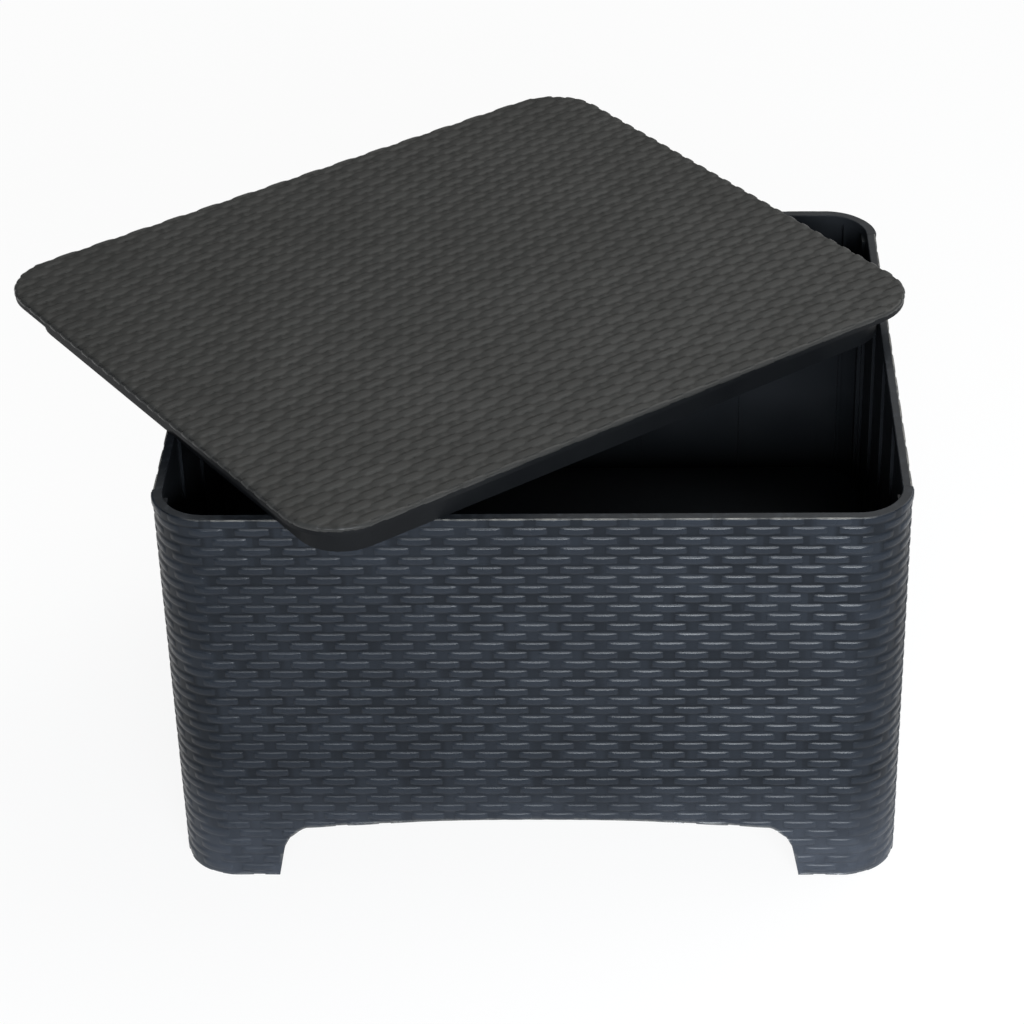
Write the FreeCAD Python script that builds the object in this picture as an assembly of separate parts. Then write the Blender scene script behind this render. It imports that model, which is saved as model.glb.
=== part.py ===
import FreeCAD, Part
import math
import os

# Storage coffee table of moulded plastic: a box of four hooked panels on arched feet, a drop-in
# floor, and a loose lid laid askew on the rim. Millimetres, +Z up, origin on the ground under
# the middle of the box, +X along the long side, -Y towards the front.

# The box
body_length = 600.0
body_depth = 508.0
rim_height = 358.0
corner_radius = 45.0
wall = 3.0
weave_depth = 1.4
rim_width = 8.3
rim_band = 8.0
rim_rounding = 1.0
side_inset = 1.2
seam_gap = 0.4

# Feet and the arches between them
foot_width = 82.3
foot_lean = 11.2
sole_height = 4.0
arch_crown = 58.2
arch_rise = 10.0
arch_shoulder = 30.0
arch_lip = 3.5

# Stiffening ribs inside the panels
rib_thickness = 3.0
end_rib_inset = 25.0
front_rib_count = 7
side_rib_count = 5

# Hooked tongue of a side panel, in the groove of a front or back panel
tongue_thickness = 2.0
tongue_length = 12.0
tongue_start = 6.0
hook_length = 3.0
hook_height = 1.2
joint_clearance = 0.2
groove_wall = 2.2
groove_roof = 3.0

# Drop-in floor and the ledges that carry it
ledge_top = 84.0
ledge_thickness = 4.0
ledge_reach = 22.0
gusset_height = 16.0
floor_clearance = 1.0
floor_rib_depth = 14.0
floor_rib_clearance = 2.0
floor_rib_columns = 4
floor_rib_rows = 3

# Loose lid
lid_height = 36.0
lid_skin = 3.2
lid_edge_height = 7.0
lid_edge_wall = 3.0
lid_edge_clearance = 3.0
lid_edge_rounding = 2.0
skirt_clearance = 1.1
skirt_wall = 3.0
skirt_corner_radius = 40.0
lid_rib_depth = 15.0
lid_rib_columns = 4
lid_rib_rows = 3

# How the lid lies on the rim
lid_turn = 37.4
lid_shift_x = -69.7
lid_shift_y = 51.5

# Spare length that carries a cut clear of the faces that it passes
overrun = 5.0

half_length = body_length / 2
half_depth = body_depth / 2
seam_y = half_depth - corner_radius
rim_underside = rim_height - rim_band
tongue_inner = rim_width
tongue_outer = tongue_inner - tongue_thickness
groove_depth = tongue_length + joint_clearance
groove_top = rim_underside - groove_roof
boss_length = groove_depth + groove_wall
boss_reach = tongue_inner + hook_height + joint_clearance + groove_wall
ledge_underside = ledge_top - ledge_thickness
lid_overhang = lid_edge_clearance + lid_edge_wall
skirt_inset = lid_overhang + boss_reach + skirt_clearance
UP = FreeCAD.Vector(0, 0, 1)
HALF_TURN = 180.0
QUARTER_TURN = 90.0


def is_upright(edge):
    """True for a straight edge along Z."""
    ends = [v.Point for v in edge.Vertexes]
    return len(ends) == 2 and abs(ends[0].x - ends[1].x) + abs(ends[0].y - ends[1].y) < 1e-6


def block(x0, x1, y0, y1, z0, z1):
    """Box between two corners."""
    return Part.makeBox(x1 - x0, y1 - y0, z1 - z0, FreeCAD.Vector(x0, y0, z0))


def slab(half_x, half_y, radius, low, high):
    """Upright prism on a rectangle with rounded corners, centred on the Z axis."""
    prism = block(-half_x, half_x, -half_y, half_y, low, high)
    return prism.makeFillet(radius, [e for e in prism.Edges if is_upright(e)])


def ring(half_x, half_y, radius, thickness, low, high):
    """Upright wall of one thickness inside a rounded rectangle."""
    outer = slab(half_x, half_y, radius, low, high)
    hole = slab(half_x - thickness, half_y - thickness, radius - thickness, low - overrun, high + overrun)
    return outer.cut(hole)


def band(first, last, low, high):
    """Wall that follows the box, from one depth behind its outer face to another."""
    return ring(half_length - first, half_depth - first, corner_radius - first, last - first, low, high)


def joined(solids):
    """One clean solid from pieces that touch or cross."""
    return solids[0].multiFuse(solids[1:]).removeSplitter()


def rounded_top(solid, radius):
    """The solid with its topmost edges rounded, apart from edges that cross the wall."""
    top = solid.BoundBox.ZMax
    flat = [e for e in solid.Edges if e.BoundBox.ZMin > top - 1e-6 and e.Length > 2 * rim_width]
    return solid.makeFillet(radius, flat)


def arch_space(half_span, grow, near, far):
    """Space under an arch, along Y: leaning sides below a shallow circular crown with rounded shoulders."""
    crown = arch_crown + grow
    radius = (half_span ** 2 + arch_rise ** 2) / (2 * arch_rise) + grow
    lean = math.tan(math.radians(foot_lean))
    foot_edge = half_span + grow / math.cos(math.radians(foot_lean))
    low = foot_edge + overrun * lean
    high = foot_edge - (crown + overrun) * lean
    corners = [(-low, -overrun), (low, -overrun), (high, crown + overrun), (-high, crown + overrun)]
    outline = [FreeCAD.Vector(x, near, z) for x, z in corners + corners[:1]]
    between_feet = Part.Face(Part.makePolygon(outline)).extrude(FreeCAD.Vector(0, far - near, 0))
    below_crown = Part.makeCylinder(
        radius, far - near, FreeCAD.Vector(0, near, crown - radius), FreeCAD.Vector(0, 1, 0))
    space = between_feet.common(below_crown)
    shoulders = [
        e for e in space.Edges
        if abs(e.CenterOfMass.x) > half_span / 2
        and e.CenterOfMass.z > 0
        and e.BoundBox.YLength > (far - near) / 2
        and e.BoundBox.XLength < 1e-6
    ]
    return space.makeFillet(arch_shoulder + grow, shoulders)


def plan_prism(outline, low, high):
    """Upright prism on a polygon of plan points."""
    points = [FreeCAD.Vector(x, y, low) for x, y in outline + outline[:1]]
    return Part.Face(Part.makePolygon(points)).extrude(UP * (high - low))


def hook_outline(end, clearance):
    """Plan of the hooked tongue at the front right seam, grown by a clearance on every side.

    It runs from the distance `end` on the side panel's side of the seam into the corner, with its hook
    towards the inside.
    """
    outer = half_length - tongue_outer + clearance
    inner = half_length - tongue_inner - clearance
    hook = inner - hook_height
    tip = -seam_y - tongue_length - clearance
    heel = -seam_y - tongue_length + hook_length + clearance
    start = -seam_y + end
    return [(outer, start), (outer, tip), (hook, tip), (hook, heel), (inner, heel), (inner, start)]


def mirrored_x(shape):
    """The shape mirrored left to right."""
    return shape.mirror(FreeCAD.Vector(0, 0, 0), FreeCAD.Vector(1, 0, 0))


def turned(shape, angle):
    """A copy of the shape turned about the Z axis."""
    copy = shape.copy()
    copy.rotate(FreeCAD.Vector(0, 0, 0), UP, angle)
    return copy


def spread(half_run, count):
    """Evenly spaced places from one end of a centred run to the other."""
    return [half_run * (2 * k / (count - 1) - 1) for k in range(count)]


def rib_grid(half_x, half_y, columns, rows, low, high):
    """Crossed ribs that divide a rectangle into equal bays."""
    half = rib_thickness / 2
    ribs = []
    for k in range(1, columns + 1):
        x = -half_x + 2 * half_x * k / (columns + 1)
        ribs.append(block(x - half, x + half, -half_y, half_y, low, high))
    for k in range(1, rows + 1):
        y = -half_y + 2 * half_y * k / (rows + 1)
        ribs.append(block(-half_x, half_x, y - half, y + half, low, high))
    return ribs


def gusset_row(half_run, back, front, count):
    """Row of triangular gussets along X, under a ledge from the wall at `back` to `front` in Y."""
    profile = [(back, ledge_underside), (front, ledge_underside), (back, ledge_underside - gusset_height)]
    gussets = []
    for x in spread(half_run - rib_thickness, count):
        corners = [FreeCAD.Vector(x - rib_thickness / 2, y, z) for y, z in profile + profile[:1]]
        gussets.append(Part.Face(Part.makePolygon(corners)).extrude(FreeCAD.Vector(rib_thickness, 0, 0)))
    return gussets


def make_front_panel():
    """Front moulding: it wraps both front corners and holds the grooves of the corner joints."""
    straight = half_length - corner_radius
    wall_back = weave_depth + wall
    front_part = block(-half_length, half_length, -half_depth, -seam_y, 0, rim_height)

    skin = band(weave_depth, wall_back, 0, rim_height).common(front_part)
    rim = rounded_top(band(0, rim_width, rim_underside, rim_height).common(front_part), rim_rounding)
    sole = band(weave_depth, rim_width, 0, sole_height).common(front_part)
    rib_zone = band(wall_back - wall / 2, rim_width, 0, rim_underside).common(front_part)
    half_rib = rib_thickness / 2
    ribs = [
        block(x - half_rib, x + half_rib, -half_depth, -seam_y, 0, rim_underside).common(rib_zone)
        for x in spread(half_length - end_rib_inset, front_rib_count)
    ]
    ledge_back = wall_back - wall / 2
    ledge = band(ledge_back, ledge_reach, ledge_underside, ledge_top).common(front_part)
    gussets = gusset_row(straight, ledge_back - half_depth, ledge_reach - half_depth, front_rib_count)

    half_span = half_length - foot_width
    near, far = weave_depth - half_depth, rim_width - half_depth
    lip = arch_space(half_span, arch_lip, near, far).common(front_part)
    opening = arch_space(half_span, 0, near - overrun, far + overrun)

    boss = block(half_length - boss_reach, half_length - weave_depth, -seam_y - boss_length, -seam_y,
                 0, rim_underside)
    boss = boss.common(slab(half_length - weave_depth, half_depth - weave_depth,
                            corner_radius - weave_depth, 0, rim_underside))
    groove = plan_prism(hook_outline(overrun, joint_clearance), -overrun, groove_top)

    panel = joined([skin, rim, sole, lip, ledge, boss, mirrored_x(boss)] + ribs + gussets)
    return panel.cut([opening, groove, mirrored_x(groove)]).removeSplitter()


def make_right_panel():
    """Right moulding: flat, set in a little from the corners, with a hooked tongue down each end."""
    face = half_length - side_inset
    field = face - weave_depth
    inner = half_length - rim_width
    half_run = seam_y - seam_gap

    skin = block(field - wall, field, -half_run, half_run, 0, rim_height)
    rim = rounded_top(block(inner, face, -half_run, half_run, rim_underside, rim_height), rim_rounding)
    sole = block(inner, field, -half_run, half_run, 0, sole_height)
    ribs = [
        block(inner, field - wall / 2, y - rib_thickness / 2, y + rib_thickness / 2, 0, rim_underside)
        for y in spread(half_run - rib_thickness / 2, side_rib_count)
    ]
    ledge_back = field - wall / 2
    ledge = block(half_length - ledge_reach, ledge_back, -half_run, half_run, ledge_underside, ledge_top)
    gussets = [
        turned(gusset, QUARTER_TURN)
        for gusset in gusset_row(half_run, -ledge_back, ledge_reach - half_length, side_rib_count)
    ]

    half_span = half_depth - foot_width
    opening = turned(arch_space(half_span, 0, -half_length - overrun, -inner + overrun), QUARTER_TURN)
    lip = turned(arch_space(half_span, arch_lip, -field, -inner), QUARTER_TURN)
    lip = lip.common(block(inner, field, -half_run, half_run, 0, rim_height))

    tongue_top = groove_top - joint_clearance
    tongue = plan_prism(hook_outline(seam_gap + rib_thickness / 2, 0), tongue_start, tongue_top)
    other = tongue.mirror(FreeCAD.Vector(0, 0, 0), FreeCAD.Vector(0, 1, 0))

    panel = joined([skin, rim, sole, lip, ledge, tongue, other] + ribs + gussets)
    return panel.cut(opening).removeSplitter()


def make_floor_panel():
    """Floor that drops in on the ledges, notched round the corner joints, on a framed grid of ribs."""
    edge = rim_width + floor_clearance
    plate = slab(half_length - edge, half_depth - edge, corner_radius - edge, ledge_top, ledge_top + wall)
    notch = block(half_length - boss_reach - floor_clearance, half_length,
                  -seam_y - boss_length - floor_clearance, -seam_y + floor_clearance,
                  ledge_top - overrun, ledge_top + wall + overrun)
    front_notches = [notch, mirrored_x(notch)]
    plate = plate.cut(front_notches + [turned(n, HALF_TURN) for n in front_notches])
    frame_x = half_length - ledge_reach - floor_rib_clearance
    frame_y = half_depth - ledge_reach - floor_rib_clearance
    low = ledge_top - floor_rib_depth
    frame = ring(frame_x, frame_y, corner_radius - ledge_reach, rib_thickness, low, ledge_top)
    grid = rib_grid(frame_x - rib_thickness / 2, frame_y - rib_thickness / 2,
                    floor_rib_columns, floor_rib_rows, low, ledge_top)
    return joined([plate, frame] + grid)


def make_lid():
    """Lid in its own frame, skirt down on Z = 0: plate, downturned edge, skirt and crossed ribs."""
    half_x = half_length + lid_overhang
    half_y = half_depth + lid_overhang
    radius = corner_radius + lid_overhang
    underside = lid_height - lid_skin
    edge_low = lid_height - lid_edge_height
    plate = rounded_top(slab(half_x, half_y, radius, edge_low, lid_height), lid_edge_rounding)
    hollow = slab(half_x - lid_edge_wall, half_y - lid_edge_wall, radius - lid_edge_wall,
                  edge_low - overrun, underside)
    skirt_x = half_x - skirt_inset
    skirt_y = half_y - skirt_inset
    skirt = ring(skirt_x, skirt_y, skirt_corner_radius, skirt_wall, 0, underside)
    grid = rib_grid(skirt_x - skirt_wall / 2, skirt_y - skirt_wall / 2,
                    lid_rib_columns, lid_rib_rows, underside - lid_rib_depth, underside)
    return joined([plate.cut(hollow), skirt] + grid)


def laid_askew(lid):
    """The lid turned and shifted on the rim, with its skirt on the rim's flat top."""
    placed = turned(lid, lid_turn)
    placed.translate(FreeCAD.Vector(lid_shift_x, lid_shift_y, rim_height))
    return placed


front_panel = make_front_panel()
right_panel = make_right_panel()
parts = {
    "front_panel": front_panel,
    "back_panel": turned(front_panel, HALF_TURN),
    "right_panel": right_panel,
    "left_panel": turned(right_panel, HALF_TURN),
    "floor_panel": make_floor_panel(),
    "lid": laid_askew(make_lid()),
}

os.makedirs("parts", exist_ok=True)
for name, shape in parts.items():
    shape.exportStep(os.path.join("parts", name + ".step"))
    size = shape.BoundBox
    print(name, "solids", len(shape.Solids), "valid", shape.isValid(), "litres", round(shape.Volume / 1e6, 3),
          "box", round(size.XLength, 1), round(size.YLength, 1), round(size.ZLength, 1))
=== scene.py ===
import math
from collections import namedtuple

import bpy
import numpy as np
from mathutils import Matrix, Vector


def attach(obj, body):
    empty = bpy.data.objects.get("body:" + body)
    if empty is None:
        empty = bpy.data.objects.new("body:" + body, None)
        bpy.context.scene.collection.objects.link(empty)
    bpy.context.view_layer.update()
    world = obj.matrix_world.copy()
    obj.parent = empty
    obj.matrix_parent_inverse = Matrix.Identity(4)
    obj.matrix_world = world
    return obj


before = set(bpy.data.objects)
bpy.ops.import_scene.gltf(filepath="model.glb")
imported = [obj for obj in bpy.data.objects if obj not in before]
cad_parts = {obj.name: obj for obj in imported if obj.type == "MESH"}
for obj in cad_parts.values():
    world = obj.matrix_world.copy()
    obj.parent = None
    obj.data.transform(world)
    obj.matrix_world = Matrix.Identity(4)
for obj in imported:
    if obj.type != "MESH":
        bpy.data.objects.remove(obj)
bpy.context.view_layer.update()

# Storage coffee table in dark moulded plastic: the wicker relief of its panels and lid, its finishes,
# and a plain studio. The part and the camera's place are given in millimetres; finishes, lamps and the
# studio floor in metres.
METRES = 0.001

# The box, as the solids have it
half_length = 300.0
half_depth = 254.0
corner_radius = 45.0
weave_depth = 1.4
side_inset = 1.2
seam_gap = 0.4
rim_underside = 350.0
rim_height = 358.0
rim_rounding = 1.0
straight_run = half_length - corner_radius
wall_radius = corner_radius - weave_depth
corner_run = wall_radius * math.pi / 2.0

# Feet and arches
foot_width = 82.3
foot_lean = math.radians(11.2)
arch_crown = 58.2
arch_rise = 10.0
arch_shoulder = 30.0

# Lid
lid_overhang = 6.0
lid_height = 36.0
lid_edge_rounding = 2.0
lid_turn = math.radians(37.4)
lid_place = np.array([-69.7, 51.5, rim_height])

# Wicker relief: strands run along the panels and the lid's long side, over and under stakes
row_height = 9.15
lid_row_height = 9.03
stake_spacing = 18.1
strand_rise = 1.5
rise_spread = 0.06
stake_fullness = 2.5
stake_roundness = 0.6
Wicker = namedtuple("Wicker", ["crown", "flank_depth", "shoulder", "reach", "sag", "lift",
                               "stake_rise", "stake_reach", "stake_low"])
wall_wicker = Wicker(crown=0.33, flank_depth=1.0, shoulder=12.8, reach=14.5, sag=0.5, lift=0.5,
                     stake_rise=0.4, stake_reach=6.6, stake_low=0.35)
lid_wicker = Wicker(crown=0.3, flank_depth=0.2, shoulder=6.0, reach=16.8, sag=0.45, lift=0.6,
                    stake_rise=0.85, stake_reach=3.4, stake_low=0.1)
lid_weave_shift = np.array([-0.5, -0.5])

# Where the relief is shallower: shares of its height and of the bend round a corner, and a power of the
# rolled rim's cosine
corner_relief_drop = 0.42
corner_fade = 0.16
corner_return = 0.55
rim_relief_share = 0.7
rim_flattening = 4
lid_edge_drop = 0.45

# Skins: how far they stand off the panel, how deep their hems go in, and where their edges are rubbed
# and take a painted highlight
skin_clearance = 0.06
hem_depth = 0.12
lid_hem_drop = 1.6
rolled_wear_and_highlight_gain = 2.0
arch_wear_and_highlight_height = 2.5
rim_wear_and_highlight_low = 0.4
rim_wear_and_highlight_fade = 20.0

# Sample lines of one stake spacing and of one row, closer together where the relief turns over
WALL_STATIONS = np.array([0.0, 3.6, 4.45, 5.3, 9.05, 12.8, 13.65, 14.5])
WALL_LEVELS = np.array([-1.0, -0.82, -0.68, -0.54, -0.4, -0.22, 0.3, 0.54, 0.78])
LID_STATIONS = np.array([0.0, 1.6, 3.1, 5.8, 9.05, 12.3, 15.0, 16.5])
LID_LEVELS = np.array([-1.0, -0.82, -0.45, 0.0, 0.45, 0.82])

# Sample lines up the rim band and round the rolled edges, with the line at each hem given twice
RIM_LEVELS = np.array([0.05, 0.05, 1.0, 2.0, 3.0, 4.2, 5.6, 7.0])
RIM_TURNS = np.radians([22.0, 45.0, 66.0, 66.0])
LID_TURNS = np.radians([30.0, 60.0, 90.0, 90.0])
SHOULDER_LINES = 13
SHOULDER_END = math.radians(92.0)

# Factors of the fixed scatter
FIRST_FACTOR = 12.9898
SECOND_FACTOR = 78.233
SINE_FACTOR = 43758.5453

# Meshes: the step on which points merge, the angle of a sharp edge, and a half turn about Z
MERGE_STEP = 0.004
SHARP_ANGLE = math.radians(62.0)
TURNED_ROUND = np.array([-1.0, -1.0, 1.0])

# Finishes: grain lines to a metre along and across the strands, paler pillows and scuffs, rubbed edges
# with a painted highlight, and splashed dust with a painted reflection of the floor
strand_grain = (60.0, 900.0, 1.0)
pillow_gain = 1.22
scuff_gain = 1.7
rubbed_share = 0.45
# Paler, bluer colour up to this height in metres: splashed dust, and a painted reflection of the floor
dust_and_reflection_height = 0.10
dust_and_floor_reflection_colour = (0.056, 0.064, 0.080)

# Studio
floor_reach = 30.0
floor_drop = 0.0002
floor_colour = (0.86, 0.87, 0.88, 1.0)
floor_roughness = 0.9
white_share = 0.9
warm_light = (1.0, 0.98, 0.94)
cool_light = (0.90, 0.95, 1.0)
dome_colour = (0.92, 0.97, 1.0, 1.0)
dome_strength = 0.2

# Camera: its place and angles, and its focal length and picture width in pixels
camera_place = np.array([76.51, -2220.38, 1657.38])
camera_yaw = math.radians(2.617)
camera_pitch = math.radians(33.292)
camera_roll = math.radians(-1.67)
focal_pixels = 3040.95
picture_pixels = 1024.0
sensor_width = 36.0
farthest_seen = 200.0


def scatter(first, second):
    """Fixed scatter from 0 to 1: the fractional part of a large sine of the two numbers."""
    return np.mod(np.sin(first * FIRST_FACTOR + second * SECOND_FACTOR) * SINE_FACTOR, 1.0)


def half_cosine(share):
    """Smooth fall from 1 at a share of 0 to 0 at a share of 1."""
    return 0.5 * (1.0 + np.cos(np.pi * share))


def weave_relief(along, across, wicker):
    """Height of the wicker relief over its base level, and a tone for each strand pillow.

    `along` runs along the strands in millimetres, `across` counts rows. A pillow lies over every second
    stake, shifted by one stake in every other row: a flat crown with half-cosine flanks across the row,
    which fall by the share `flank_depth`, less a parabola along it that bows the strand by `sag`, less a
    half-cosine dive from its shoulder to its reach. Its middle line is a parabola too, lifted at the ends.
    A stake is a rounded bar whose height swings as a cosine from row to row, about the share `stake_low`.
    The relief is the higher of the two.
    """
    row = np.floor(across)
    t = 2.0 * (across - row) - 1.0
    shifted = along - stake_spacing * np.mod(row, 2.0)
    pillow = np.round(shifted / (2.0 * stake_spacing))
    x = np.abs(shifted - 2.0 * stake_spacing * pillow)
    tone = scatter(row, pillow)
    arc = (x / wicker.reach) ** 2
    t = t + 2.0 * wicker.lift / row_height * arc
    flank = np.clip((np.abs(t) - wicker.crown) / (1.0 - wicker.crown), 0.0, 1.0)
    end = np.clip((x - wicker.shoulder) / (wicker.reach - wicker.shoulder), 0.0, 1.0)
    bow = wicker.sag * arc
    dive = strand_rise * (1.0 - half_cosine(end))
    section = 1.0 - wicker.flank_depth * (1.0 - half_cosine(flank))
    strand = strand_rise * (1.0 - rise_spread / 2.0 + rise_spread * tone) * section - bow - dive
    number = np.round(along / stake_spacing)
    y = (along - stake_spacing * number) / wicker.stake_reach
    swing = wicker.stake_low - (1.0 - wicker.stake_low) * np.cos(np.pi * (across - 0.5 + number))
    bar = np.clip(1.0 - np.abs(y) ** stake_fullness, 0.0, None) ** stake_roundness
    stake = wicker.stake_rise * swing * bar
    return np.maximum(np.maximum(strand, stake), 0.0), tone


def sample_lines(stations, pitch, low, high, shift=0.0, extra=()):
    """Ascending sample lines from `low` to `high`: the stations repeated at the pitch from the shift."""
    repeats = np.arange(math.floor((low - shift) / pitch) - 1, math.ceil((high - shift) / pitch) + 1)
    lines = (repeats[:, None] * pitch + stations[None, :] + shift).ravel()
    inside = lines[(lines > low) & (lines < high)]
    lines = np.concatenate([inside, [low, high], np.asarray(extra, float)])
    return np.unique(np.round(lines, 2))


def arch_fillet(half_span):
    """Crown radius, fillet centre and its two tangent points, on the right half of an arch.

    The crown is a circle through the arch's top and `arch_rise` below it at the half span. The fillet
    centre lies one shoulder radius from the leaning side and from the crown, inside the arch.
    """
    radius = (half_span ** 2 + arch_rise ** 2) / (2.0 * arch_rise)
    inner_radius = radius - arch_shoulder
    up_leg = np.array([-math.sin(foot_lean), math.cos(foot_lean)])
    inwards = np.array([-math.cos(foot_lean), -math.sin(foot_lean)])
    crown_centre = np.array([0.0, arch_crown - radius])
    start = np.array([half_span, 0.0]) + arch_shoulder * inwards - crown_centre
    climb = start @ up_leg
    centre = start + up_leg * (math.sqrt(climb ** 2 - start @ start + inner_radius ** 2) - climb)
    on_crown = crown_centre + centre * radius / inner_radius
    centre = centre + crown_centre
    on_leg = centre - arch_shoulder * inwards
    return radius, centre, on_crown, on_leg


def arch_edge(x, half_span):
    """Height of a panel's lower edge: the sole, the leaning side, the shoulder fillet, the crown."""
    radius, centre, on_crown, on_leg = arch_fillet(half_span)
    x = np.abs(x)
    crown = arch_crown - radius + np.sqrt(np.maximum(radius ** 2 - x ** 2, 0.0))
    shoulder = centre[1] + np.sqrt(np.maximum(arch_shoulder ** 2 - (x - centre[0]) ** 2, 0.0))
    leg = (half_span - x) / math.tan(foot_lean)
    edge = np.where(x < on_crown[0], crown, np.where(x < on_leg[0], shoulder, leg))
    return np.maximum(edge, 0.0)


def arch_stations(half_span):
    """Sample lines on both sides, at the foot and round the shoulder fillet to just past its top."""
    centre = arch_fillet(half_span)[1]
    turn = np.linspace(foot_lean, SHOULDER_END, SHOULDER_LINES)
    right = np.concatenate([centre[0] + arch_shoulder * np.cos(turn), [half_span]])
    return np.concatenate([-right, right])


def build_piece(name, points, places, heights, tones, edges, body, material):
    """Mesh of a grid of points, two triangles to a cell, split along the shorter diagonal.

    Points that fall together are merged and the triangles that collapse are dropped. `places` becomes
    the piece's map in metres; `heights`, `tones` and `edges`, which is 1 along rubbed edges that take a
    painted highlight, become its attributes.
    """
    rows, columns = points.shape[:2]
    flat = points.reshape(-1, 3)
    number = np.arange(rows * columns).reshape(rows, columns)
    corners = [number[:-1, :-1], number[:-1, 1:], number[1:, 1:], number[1:, :-1]]
    a, b, c, d = [corner.ravel() for corner in corners]
    short = np.sum((flat[a] - flat[c]) ** 2, 1) <= np.sum((flat[b] - flat[d]) ** 2, 1)
    first = np.stack([a, b, np.where(short, c, d)], 1)
    second = np.stack([np.where(short, a, b), c, d], 1)
    triangles = np.concatenate([first, second])

    keys = np.round(flat / MERGE_STEP).astype(np.int64)
    _, kept, merged = np.unique(keys, axis=0, return_index=True, return_inverse=True)
    triangles = merged.reshape(-1)[triangles]
    whole = (triangles[:, 0] != triangles[:, 1]) & (triangles[:, 1] != triangles[:, 2])
    whole &= triangles[:, 2] != triangles[:, 0]
    triangles = triangles[whole]
    used, triangles = np.unique(triangles, return_inverse=True)
    triangles = triangles.reshape(-1, 3)
    kept = kept[used]

    mesh = bpy.data.meshes.new(name)
    mesh.from_pydata(flat[kept] * METRES, [], triangles)
    mesh.polygons.foreach_set("use_smooth", np.ones(len(triangles), bool))
    mesh.set_sharp_from_angle(angle=SHARP_ANGLE)
    layer = mesh.uv_layers.new(name="strand_map")
    layer.data.foreach_set("uv", (places.reshape(-1, 2)[kept] * METRES)[triangles.ravel()].ravel())
    for label, values in (("rise", heights / strand_rise), ("tone", tones), ("edge", edges)):
        attribute = mesh.attributes.new(label, "FLOAT", "POINT")
        attribute.data.foreach_set("value", values.ravel()[kept])
    mesh.materials.append(material)
    piece = bpy.data.objects.new(name, mesh)
    bpy.context.scene.collection.objects.link(piece)
    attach(piece, body)


def wrapped_wall(along, height, z):
    """Front wall: a straight run and a quarter circle round each corner, offset outwards by the height."""
    turn = np.maximum(np.abs(along) - straight_run, 0.0) / wall_radius
    side = np.sign(along)
    x = side * (np.minimum(np.abs(along), straight_run) + (wall_radius + height) * np.sin(turn))
    y = -(half_depth - corner_radius) - (wall_radius + height) * np.cos(turn)
    return np.stack([x, y, z], -1)


def flat_wall(along, height, z):
    """Right wall: a flat face along Y, offset outwards by the height."""
    x = half_length - side_inset - weave_depth + height
    return np.stack([x, along, z], -1)


def wall_relief(along, z):
    """Wicker relief of a wall, its rows counted down from the rim's underside.

    Round a corner it is shallower, by a half-cosine fade near the start of the bend and another, back
    to the full height, towards its end.
    """
    rows = (rim_underside - z) / row_height
    height, tone = weave_relief(along, rows, wall_wicker)
    bend = (np.abs(along) - straight_run) / corner_run
    fade = 1.0 - half_cosine(np.clip(bend / corner_fade, 0.0, 1.0))
    back = half_cosine(np.clip((bend - corner_return) / (1.0 - corner_return), 0.0, 1.0))
    return height * (1.0 - corner_relief_drop * fade * back), tone


def wall_weave(name, wall, half_run, half_span, turn_back, material):
    """Wicker skin of one panel, over the panel's length and its height.

    The sample lines run along the wall and down from the rim's underside. Lines below the panel's lower
    edge are raised to it, and a hem row and column on every side turn the skin's edge into the panel.
    """
    along = sample_lines(WALL_STATIONS, stake_spacing, -half_run, half_run,
                         extra=arch_stations(half_span))
    along = along[np.abs(along) <= half_run]
    levels = sample_lines((WALL_LEVELS + 1.0) / 2.0, 1.0, 0.0, rim_underside / row_height)
    s, rows = np.meshgrid(np.pad(along, 1, "edge"), np.pad(levels, 1, "edge"))
    lower_edge = arch_edge(s, half_span)
    z = np.maximum(rim_underside - rows * row_height, lower_edge)
    height, tone = wall_relief(s, z)
    raised = np.pad(height[1:-1, 1:-1] + skin_clearance, 1, constant_values=-hem_depth)
    points = wall(s, raised, z)
    if turn_back:
        points = points * TURNED_ROUND
    places = np.stack([s, z], -1)
    # Rubbed lower edge of the arch, smoother and with a painted highlight
    edge = np.clip(1.0 - (z - lower_edge) / arch_wear_and_highlight_height, 0.0, 1.0)
    build_piece(name, points, places, height, tone, edge, "box", material)


def rim_weave(name, wall, half_run, turn_back, material):
    """Low wicker row on the rim band of one panel, over the panel's length and the band's height.

    The band carries the next row of the relief at a smaller share of its height. At the top the row
    turns inwards on a circle about the rounding's centre, under the level of the rim's flat top, and
    flattens by a power of the turn's cosine. Its rolled edge is rubbed and takes a painted highlight along
    the straight run, most where the relief stands proud.
    """
    along = sample_lines(WALL_STATIONS, stake_spacing, -half_run, half_run)
    upright = rim_underside + RIM_LEVELS
    levels = np.concatenate([upright, np.full(len(RIM_TURNS), upright[-1])])
    turns = np.concatenate([np.zeros(len(upright)), RIM_TURNS])
    s, z = np.meshgrid(np.pad(along, 1, "edge"), levels)
    angle = np.broadcast_to(turns[:, None], s.shape)
    height, tone = wall_relief(s, z)
    raised = rim_relief_share * height * np.cos(angle) ** rim_flattening + skin_clearance
    raised = np.pad(raised[1:-1, 1:-1], 1, constant_values=-hem_depth)
    out = weave_depth - rim_rounding + (rim_rounding + raised) * np.cos(angle)
    points = wall(s, out, z + (rim_rounding + raised) * np.sin(angle))
    if turn_back:
        points = points * TURNED_ROUND
    places = np.stack([s, z], -1)
    # Rubbed rolled edge with a painted highlight, fading round the corners, strongest where the relief
    # stands proud
    straight = np.clip((straight_run - np.abs(s)) / rim_wear_and_highlight_fade + 1.0, 0.0, 1.0)
    proud = np.clip(height / strand_rise, rim_wear_and_highlight_low, 1.0)
    edge = np.clip(np.sin(angle) * rolled_wear_and_highlight_gain, 0.0, 1.0) * straight * proud
    build_piece(name, points, places, height, tone, edge, "box", material)


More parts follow.
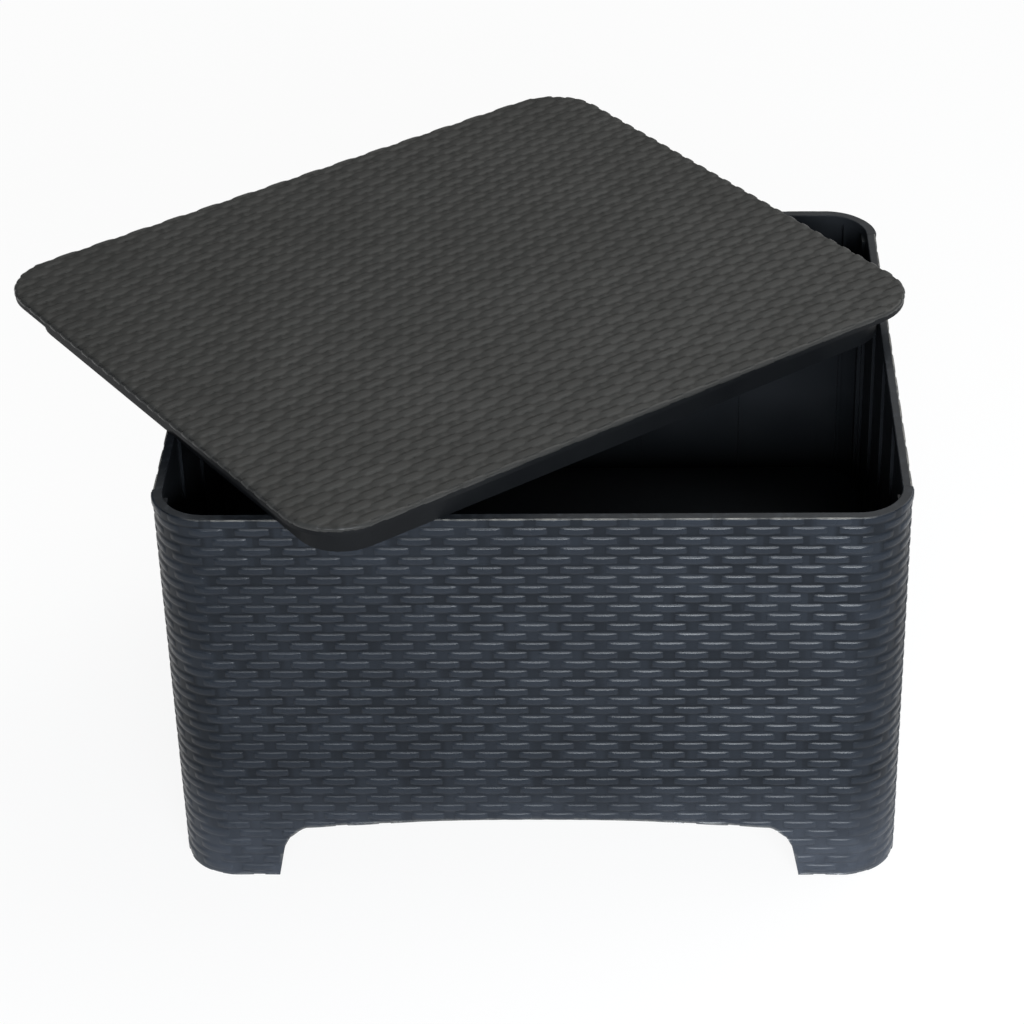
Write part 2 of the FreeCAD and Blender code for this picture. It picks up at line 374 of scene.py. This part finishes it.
def lid_weave(name, material):
    """Wicker skin of the lid, over its length and width, rolled over its rounded edge.

    Each sample point is held inside the flat top's rounded rectangle. Past its border the skin turns
    down a quarter circle about the border, along the outline's own normal, and ends in a hem.
    """
    half_u = half_length + lid_overhang - lid_edge_rounding
    half_v = half_depth + lid_overhang - lid_edge_rounding
    corner = corner_radius + lid_overhang - lid_edge_rounding
    border = len(LID_TURNS)
    along = sample_lines(LID_STATIONS, stake_spacing, -half_u, half_u, lid_weave_shift[0])
    rows = sample_lines((LID_LEVELS + 1.0) / 2.0 * lid_row_height, lid_row_height, -half_v, half_v,
                        lid_weave_shift[1] - lid_row_height / 2.0)
    u, v = np.meshgrid(np.pad(along, border, "edge"), np.pad(rows, border, "edge"))
    bend = np.maximum(np.abs(v) - (half_v - corner), 0.0)
    reach = half_u - corner + np.sqrt(np.maximum(corner ** 2 - bend ** 2, 0.0))
    u = np.clip(u, -reach, reach)
    row_count = (v - lid_weave_shift[1]) / lid_row_height + 0.5
    height, tone = weave_relief(u - lid_weave_shift[0], row_count, lid_wicker)

    ends_u = np.concatenate([LID_TURNS[::-1], np.zeros(len(along)), LID_TURNS])
    ends_v = np.concatenate([LID_TURNS[::-1], np.zeros(len(rows)), LID_TURNS])
    angle = np.maximum(ends_u[None, :], ends_v[:, None])
    hem = np.zeros(angle.shape, bool)
    hem[[0, -1], :] = True
    hem[:, [0, -1]] = True
    normal_u = np.sign(u) * np.maximum(np.abs(u) - (half_u - corner), 0.0) / corner
    normal_v = np.sign(v) * np.maximum(np.abs(v) - (half_v - corner), 0.0) / corner
    lowered = height * (1.0 - lid_edge_drop * np.sin(angle))
    raised = np.where(hem, -hem_depth, lowered + skin_clearance)
    roll_radius = lid_edge_rounding + raised
    z = lid_height - lid_edge_rounding + roll_radius * np.cos(angle) - np.where(hem, lid_hem_drop, 0.0)
    out = roll_radius * np.sin(angle)
    x = u + normal_u * out
    y = v + normal_v * out
    turned_x = x * math.cos(lid_turn) - y * math.sin(lid_turn)
    turned_y = x * math.sin(lid_turn) + y * math.cos(lid_turn)
    points = np.stack([turned_x, turned_y, z], -1) + lid_place
    places = np.stack([u, v], -1)
    edge = np.clip(np.sin(angle) * rolled_wear_and_highlight_gain, 0.0, 1.0)
    build_piece(name, points, places, height, tone, edge, "lid", material)


def new_finish(name):
    """A material with a plain shader, its node tree and a helper that adds a node with its settings."""
    material = bpy.data.materials.new(name)
    material.use_nodes = True
    tree = material.node_tree
    shader = tree.nodes["Principled BSDF"]

    def add(kind, links=(), **settings):
        made = tree.nodes.new(kind)
        for key, value in settings.items():
            if hasattr(made, key):
                setattr(made, key, value)
            else:
                made.inputs[key.replace("_", " ")].default_value = value
        for source, target in links:
            tree.links.new(source, made.inputs[target])
        return made

    return material, tree, shader, add


def mix_colour(add, factor, first, second):
    """Colour between two, each a value or a socket, by a factor socket."""
    node = add("ShaderNodeMix", data_type="RGBA")
    tree = node.id_data
    tree.links.new(factor, node.inputs[0])
    for socket, colour in ((node.inputs[6], first), (node.inputs[7], second)):
        if isinstance(colour, tuple):
            socket.default_value = colour + (1.0,)
        else:
            tree.links.new(colour, socket)
    return node.outputs[2]


def spread_range(add, value, source=(0.0, 1.0), target=(0.0, 1.0)):
    """Value carried from the source range to the target range and held at its ends."""
    node = add("ShaderNodeMapRange", links=[(value, 0)])
    for index, number in zip((1, 2, 3, 4), source + target):
        node.inputs[index].default_value = number
    return node.outputs[0]


def reckon(add, operation, first, second):
    """Result of one operation on two sockets."""
    return add("ShaderNodeMath", operation=operation, links=[(first, 0), (second, 1)]).outputs[0]


def noise_value(add, place, size, detail=3.0):
    """Cloudy noise whose patches are about `size` across, in the units of the place."""
    node = add("ShaderNodeTexNoise", links=[(place, "Vector")], Scale=1.0 / size, Detail=detail)
    return node.outputs["Fac"]


def bumped(add, height, distance, strength, before=None):
    """Normal raised by a height socket over `distance` metres, after an earlier bump where given."""
    links = [(height, "Height")]
    if before is not None:
        links.append((before, "Normal"))
    node = add("ShaderNodeBump", links=links, Distance=distance, Strength=strength)
    return node.outputs["Normal"]


def woven_finish(name, groove_shade, crown, wear_and_highlight, rough_groove, rough_crown, refraction):
    """Moulded wicker: grooves darkened as painted shade, polished crowns, a tone for each pillow and a
    grain along the strands.

    Rubbed edges are smoother and take a pale colour in patches: a painted highlight, with patchy wear.
    Towards the floor the colour fades to a paler blue in patches: splashed dust, and a painted
    reflection of the floor.
    """
    material, tree, shader, add = new_finish(name)
    place = add("ShaderNodeTexCoord").outputs["Object"]
    strand = add("ShaderNodeUVMap", uv_map="strand_map").outputs["UV"]
    rise = add("ShaderNodeAttribute", attribute_name="rise").outputs["Fac"]
    tone = add("ShaderNodeAttribute", attribute_name="tone").outputs["Fac"]
    edge = add("ShaderNodeAttribute", attribute_name="edge").outputs["Fac"]
    level = add("ShaderNodeSeparateXYZ", links=[(place, 0)]).outputs["Z"]

    stretched = add("ShaderNodeMapping", links=[(strand, "Vector")], Scale=strand_grain)
    grain = noise_value(add, stretched.outputs[0], size=1.0)
    clouds = noise_value(add, place, size=0.09)
    speckle = noise_value(add, place, size=0.0011, detail=2.0)
    scuffs = noise_value(add, place, size=0.006, detail=5.0)
    patches = noise_value(add, place, size=0.02, detail=4.0)

    # Painted shade: darker from the crowns down the flanks into the grooves, by the relief's height
    colour = mix_colour(add, spread_range(add, rise, source=(0.05, 0.75)), groove_shade, crown)
    paler = tuple(channel * pillow_gain for channel in crown)
    toned_share = spread_range(add, tone, source=(0.2, 1.0), target=(0.0, 0.55))
    toned = mix_colour(add, toned_share, colour, paler)
    clouded_share = spread_range(add, clouds, source=(0.45, 0.75), target=(0.0, 0.35))
    clouded = mix_colour(add, clouded_share, toned, groove_shade)
    rubbed = spread_range(add, scuffs, source=(0.35, 0.65), target=(0.35, 1.0))
    # Painted highlight along the rubbed edges, laid in patches of wear
    highlighted_rubbed_edges = mix_colour(add, reckon(add, "MULTIPLY", edge, rubbed), clouded, wear_and_highlight)
    # Paler and bluer towards the floor, in patches: splashed dust, and a painted reflection of the floor
    low = spread_range(add, level, source=(0.0, dust_and_reflection_height), target=(0.9, 0.0))
    dust_and_reflection_patches = spread_range(add, patches, source=(0.3, 0.6), target=(0.55, 1.0))
    dusted_and_reflected = mix_colour(add, reckon(add, "MULTIPLY", low, dust_and_reflection_patches), highlighted_rubbed_edges, dust_and_floor_reflection_colour)
    tree.links.new(dusted_and_reflected, shader.inputs["Base Color"])

    polish = spread_range(add, rise, source=(0.1, 0.7), target=(rough_groove, rough_crown))
    uneven = spread_range(add, clouds, source=(0.3, 0.7), target=(-0.03, 0.04))
    smoother = spread_range(add, edge, target=(1.0, rubbed_share))
    rough = reckon(add, "MULTIPLY", reckon(add, "ADD", polish, uneven), smoother)
    tree.links.new(rough, shader.inputs["Roughness"])
    normal = bumped(add, speckle, distance=0.00006, strength=0.35)
    normal = bumped(add, grain, distance=0.00012, strength=0.4, before=normal)
    tree.links.new(normal, shader.inputs["Normal"])
    shader.inputs["IOR"].default_value = refraction
    return material


def moulded_finish(name, dark, light, roughness, worn_levels, refraction):
    """Plain moulded plastic: eroded grain, faint clouds, and scuffs that grow between two levels in Z.

    Scuffs are paler and rougher than the rest.
    """
    material, tree, shader, add = new_finish(name)
    place = add("ShaderNodeTexCoord").outputs["Object"]
    level = add("ShaderNodeSeparateXYZ", links=[(place, 0)]).outputs["Z"]
    clouds = noise_value(add, place, size=0.06)
    grain = noise_value(add, place, size=0.0009, detail=2.0)
    scuffs = noise_value(add, place, size=0.007, detail=6.0)

    colour = mix_colour(add, spread_range(add, clouds, source=(0.35, 0.7)), dark, light)
    edge = spread_range(add, level, source=worn_levels, target=(0.0, 0.8))
    wear_and_highlight = spread_range(add, scuffs, source=(0.52, 0.7))
    wear = reckon(add, "MULTIPLY", edge, wear_and_highlight)
    paler = tuple(channel * scuff_gain for channel in light)
    tree.links.new(mix_colour(add, wear, colour, paler), shader.inputs["Base Color"])
    satin = spread_range(add, clouds, source=(0.3, 0.7), target=roughness)
    rougher = spread_range(add, wear, target=(0.0, 0.12))
    tree.links.new(reckon(add, "ADD", satin, rougher), shader.inputs["Roughness"])
    tree.links.new(bumped(add, grain, distance=0.00008, strength=0.45), shader.inputs["Normal"])
    shader.inputs["IOR"].default_value = refraction
    return material


# Finishes
# Wicker finishes: the groove colours are painted shade, the crowns the plastic's own
wall_weave_finish = woven_finish(
    "wall_wicker", groove_shade=(0.0050, 0.0070, 0.0102), crown=(0.0150, 0.0190, 0.0258),
    # Pale rubbed edge colour of the walls: a painted highlight, with patchy wear
    wear_and_highlight=(0.270, 0.262, 0.240), rough_groove=0.42, rough_crown=0.27, refraction=1.25)
lid_weave_finish = woven_finish(
    "lid_wicker", groove_shade=(0.0255, 0.0255, 0.0243), crown=(0.0330, 0.0330, 0.0316),
    wear_and_highlight=(0.034, 0.034, 0.033), rough_groove=0.60, rough_crown=0.50, refraction=1.22)
wall_finish = moulded_finish(
    "wall_moulding", dark=(0.0120, 0.0138, 0.0165), light=(0.0155, 0.0175, 0.0205),
    roughness=(0.38, 0.48), worn_levels=(0.3565, 0.358), refraction=1.27)
floor_finish = moulded_finish(
    "floor_moulding", dark=(0.012, 0.015, 0.019), light=(0.016, 0.020, 0.025),
    roughness=(0.46, 0.58), worn_levels=(0.0868, 0.0875), refraction=1.35)
# The lid's plain edge, skirt and underside are painted far darker than its wicker top: painted shade
lid_shaded_finish = moulded_finish(
    "lid_moulding_painted_shade", dark=(0.0058, 0.0064, 0.0074), light=(0.0080, 0.0088, 0.0098),
    roughness=(0.40, 0.50), worn_levels=(0.387, 0.394), refraction=1.17)
for node in ("front_panel", "back_panel", "left_panel", "right_panel"):
    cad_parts[node].material_slots[0].material = wall_finish
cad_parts["floor_panel"].material_slots[0].material = floor_finish
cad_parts["lid"].material_slots[0].material = lid_shaded_finish

# Wicker skins
front_run = straight_run + corner_run
side_run = half_depth - corner_radius - seam_gap
front_span = half_length - foot_width
side_span = half_depth - foot_width
wall_weave("front_weave", wrapped_wall, front_run, front_span, False, wall_weave_finish)
wall_weave("back_weave", wrapped_wall, front_run, front_span, True, wall_weave_finish)
wall_weave("right_weave", flat_wall, side_run, side_span, False, wall_weave_finish)
wall_weave("left_weave", flat_wall, side_run, side_span, True, wall_weave_finish)
rim_weave("front_rim", wrapped_wall, front_run, False, wall_weave_finish)
rim_weave("back_rim", wrapped_wall, front_run, True, wall_weave_finish)
rim_weave("right_rim", flat_wall, side_run, False, wall_weave_finish)
rim_weave("left_rim", flat_wall, side_run, True, wall_weave_finish)
lid_weave("lid_weave", lid_weave_finish)


def studio_floor():
    """Plain pale floor, a wide square just under the soles, shown mostly as plain white."""
    mesh = bpy.data.meshes.new("studio_floor")
    sides = [(-1.0, -1.0), (1.0, -1.0), (1.0, 1.0), (-1.0, 1.0)]
    corners = [(x * floor_reach, y * floor_reach, -floor_drop) for x, y in sides]
    mesh.from_pydata(corners, [], [(0, 1, 2, 3)])
    material, tree, shader, add = new_finish("studio_floor")
    shader.inputs["Base Color"].default_value = floor_colour
    shader.inputs["Roughness"].default_value = floor_roughness
    shader.inputs["Specular IOR Level"].default_value = 0.0
    ray = add("ShaderNodeLightPath").outputs
    mirrored = reckon(add, "MAXIMUM", ray["Is Glossy Ray"], ray["Is Transmission Ray"])
    direct = reckon(add, "MAXIMUM", ray["Is Camera Ray"], mirrored)
    share = spread_range(add, direct, target=(0.0, white_share))
    white = add("ShaderNodeEmission", Color=(1.0, 1.0, 1.0, 1.0), Strength=1.0)
    shown = add("ShaderNodeMixShader", links=[(share, 0), (shader.outputs[0], 1), (white.outputs[0], 2)])
    tree.links.new(shown.outputs[0], tree.nodes["Material Output"].inputs["Surface"])
    mesh.materials.append(material)
    floor = bpy.data.objects.new("studio_floor", mesh)
    bpy.context.scene.collection.objects.link(floor)


def soft_sun(name, towards, strength, width, colour):
    """Even light from one direction, `width` degrees wide.

    A strength of 1 lights white to white, face on.
    """
    lamp = bpy.data.lights.new(name, "SUN")
    lamp.energy = strength * math.pi
    lamp.angle = math.radians(width)
    lamp.color = colour
    holder = bpy.data.objects.new(name, lamp)
    x, y, z = towards
    holder.rotation_euler = (math.atan2(math.hypot(x, y), z), 0.0, math.atan2(x, -y))
    bpy.context.scene.collection.objects.link(holder)


def soft_box(name, place, aim, width, height, spread, strength, colour):
    """Broad lamp turned to a point, its beam narrowed to `spread` degrees.

    Its power is that of a lamp without the narrowing that lights white to white at the point, face on,
    times the strength; the narrowing makes the middle of the beam brighter.
    """
    lamp = bpy.data.lights.new(name, "AREA")
    lamp.shape = "RECTANGLE"
    lamp.size = width
    lamp.size_y = height
    lamp.spread = math.radians(spread)
    lamp.color = colour
    holder = bpy.data.objects.new(name, lamp)
    reach = Vector(aim) - Vector(place)
    lamp.energy = strength * math.pi ** 2 * reach.length_squared
    holder.location = place
    holder.rotation_euler = reach.to_track_quat("-Z", "Y").to_euler()
    bpy.context.scene.collection.objects.link(holder)


def studio_light():
    """A wide warm light overhead from the back right, two cool soft boxes in front, and a dome.

    The stronger soft box is aimed past the table's right end, so its light falls off to the left.
    """
    soft_sun("overhead_light", towards=(0.45, 0.5, 0.85), strength=0.72, width=60.0, colour=warm_light)
    soft_box("front_soft_box", place=(0.7, -2.1, 1.2), aim=(0.8, -0.25, 0.25), width=1.5, height=0.3,
             spread=90.0, strength=0.48, colour=cool_light)
    soft_box("left_soft_box", place=(-0.45, -2.2, 1.25), aim=(-0.35, -0.25, 0.25), width=0.8, height=0.3,
             spread=90.0, strength=0.06, colour=cool_light)
    world = bpy.data.worlds.new("studio_dome")
    world.use_nodes = True
    background = world.node_tree.nodes["Background"]
    background.inputs["Color"].default_value = dome_colour
    background.inputs["Strength"].default_value = dome_strength
    bpy.context.scene.world = world


def photo_camera():
    """Camera at the photograph's angle: placed by its point, yaw, pitch and roll."""
    right = np.array([math.cos(camera_yaw), math.sin(camera_yaw), 0.0])
    level = np.array([-math.sin(camera_yaw), math.cos(camera_yaw), 0.0])
    down = np.array([0.0, 0.0, -1.0])
    ahead = level * math.cos(camera_pitch) + down * math.sin(camera_pitch)
    up = np.cross(right, ahead)
    across = right * math.cos(camera_roll) + up * math.sin(camera_roll)
    upright = up * math.cos(camera_roll) - right * math.sin(camera_roll)
    lens = bpy.data.cameras.new("photo_camera")
    lens.sensor_fit = "HORIZONTAL"
    lens.sensor_width = sensor_width
    lens.lens = focal_pixels / picture_pixels * sensor_width
    lens.clip_end = farthest_seen
    camera = bpy.data.objects.new("photo_camera", lens)
    place = np.eye(4)
    place[:3, :3] = np.stack([across, upright, -ahead], 1)
    place[:3, 3] = camera_place * METRES
    camera.matrix_world = place.T.tolist()
    bpy.context.scene.collection.objects.link(camera)
    bpy.context.scene.camera = camera


studio_floor()
studio_light()
photo_camera()
bpy.context.scene.view_settings.view_transform = "Standard"
